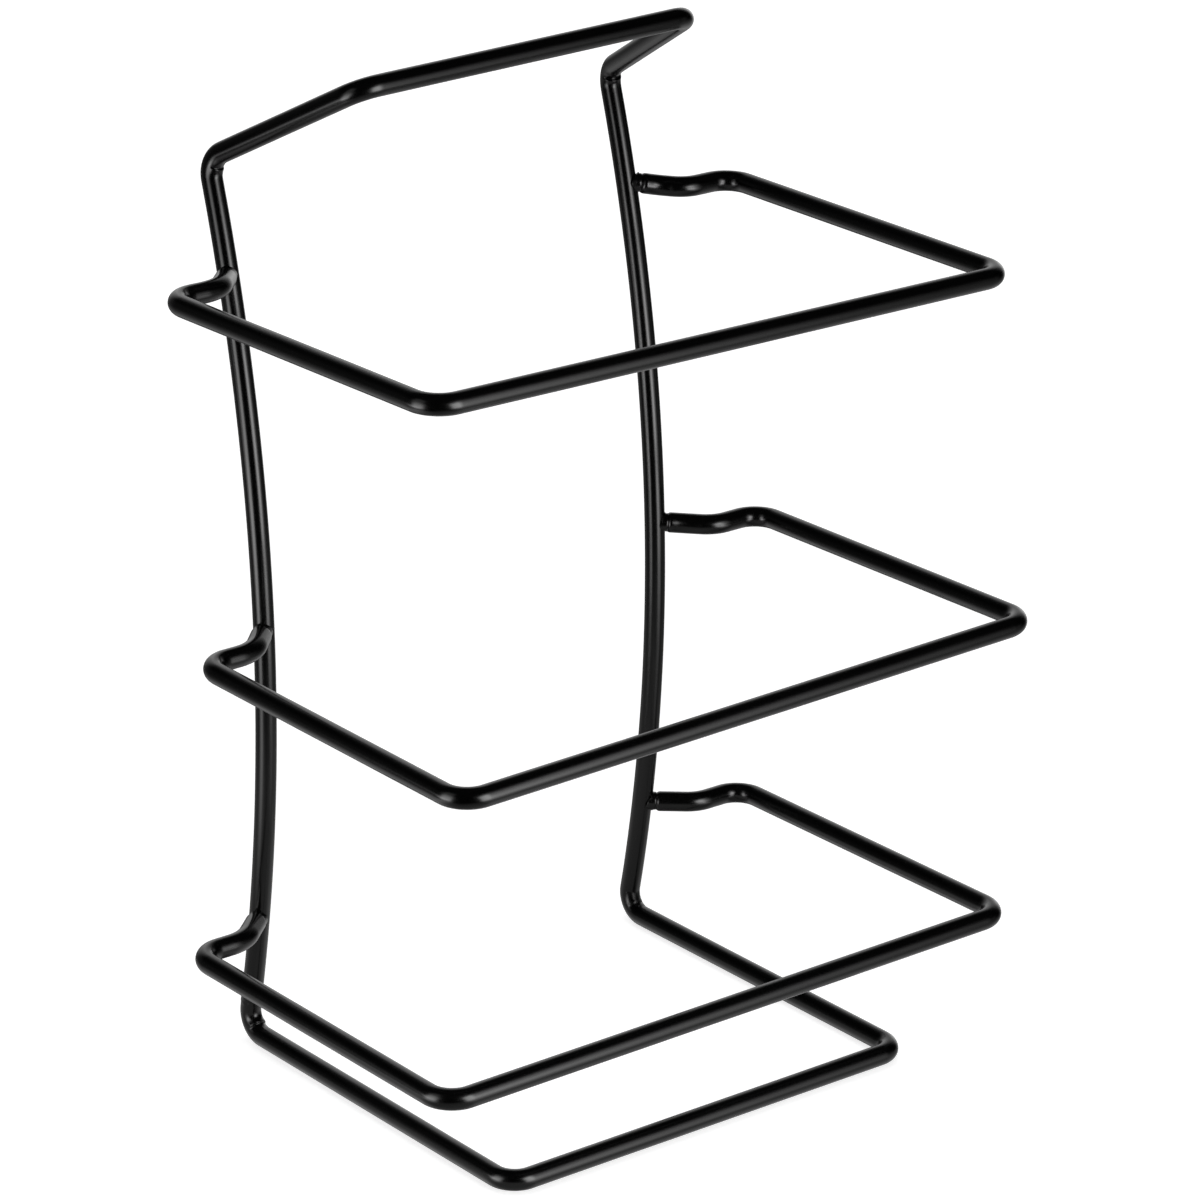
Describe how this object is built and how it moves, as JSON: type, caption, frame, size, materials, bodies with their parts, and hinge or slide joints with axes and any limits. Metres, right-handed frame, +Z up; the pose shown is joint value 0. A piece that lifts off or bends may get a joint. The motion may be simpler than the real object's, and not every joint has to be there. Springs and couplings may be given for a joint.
{
  "type": "tiered serving stand",
  "caption": "Tiered plate stand of bent round steel wire: open-backed rectangular tiers welded to two bowed uprights on a U base, with a carrying handle across the top.",
  "frame": {"origin": "on the floor under the middle of the stand's bounding box in plan", "axes": "+X across the stand to the right seen from the open front, -Y towards the front where the tiers stand out, +Z up"},
  "size_m": [0.2932, 0.2218, 0.4129],
  "materials": {
    "frame_wire": "smooth semi-gloss black powder coat",
    "frame_closing_weld": "black powder coat, a little rougher over the weld",
    "top_tier_wire": "smooth semi-gloss black powder coat",
    "top_tier_left_weld": "black powder coat, a little rougher over the weld",
    "top_tier_right_weld": "black powder coat, a little rougher over the weld",
    "middle_tier_wire": "smooth semi-gloss black powder coat",
    "middle_tier_left_weld": "black powder coat, a little rougher over the weld",
    "middle_tier_right_weld": "black powder coat, a little rougher over the weld",
    "bottom_tier_wire": "smooth semi-gloss black powder coat",
    "bottom_tier_left_weld": "black powder coat, a little rougher over the weld",
    "bottom_tier_right_weld": "black powder coat, a little rougher over the weld"
  },
  "bodies": {
    "root": {"frame_wire": "frame_wire", "frame_closing_weld": "frame_closing_weld", "top_tier_wire": "top_tier_wire", "top_tier_left_weld": "top_tier_left_weld", "top_tier_right_weld": "top_tier_right_weld", "middle_tier_wire": "middle_tier_wire", "middle_tier_left_weld": "middle_tier_left_weld", "middle_tier_right_weld": "middle_tier_right_weld", "bottom_tier_wire": "bottom_tier_wire", "bottom_tier_left_weld": "bottom_tier_left_weld", "bottom_tier_right_weld": "bottom_tier_right_weld"}
  },
  "joints": []
}
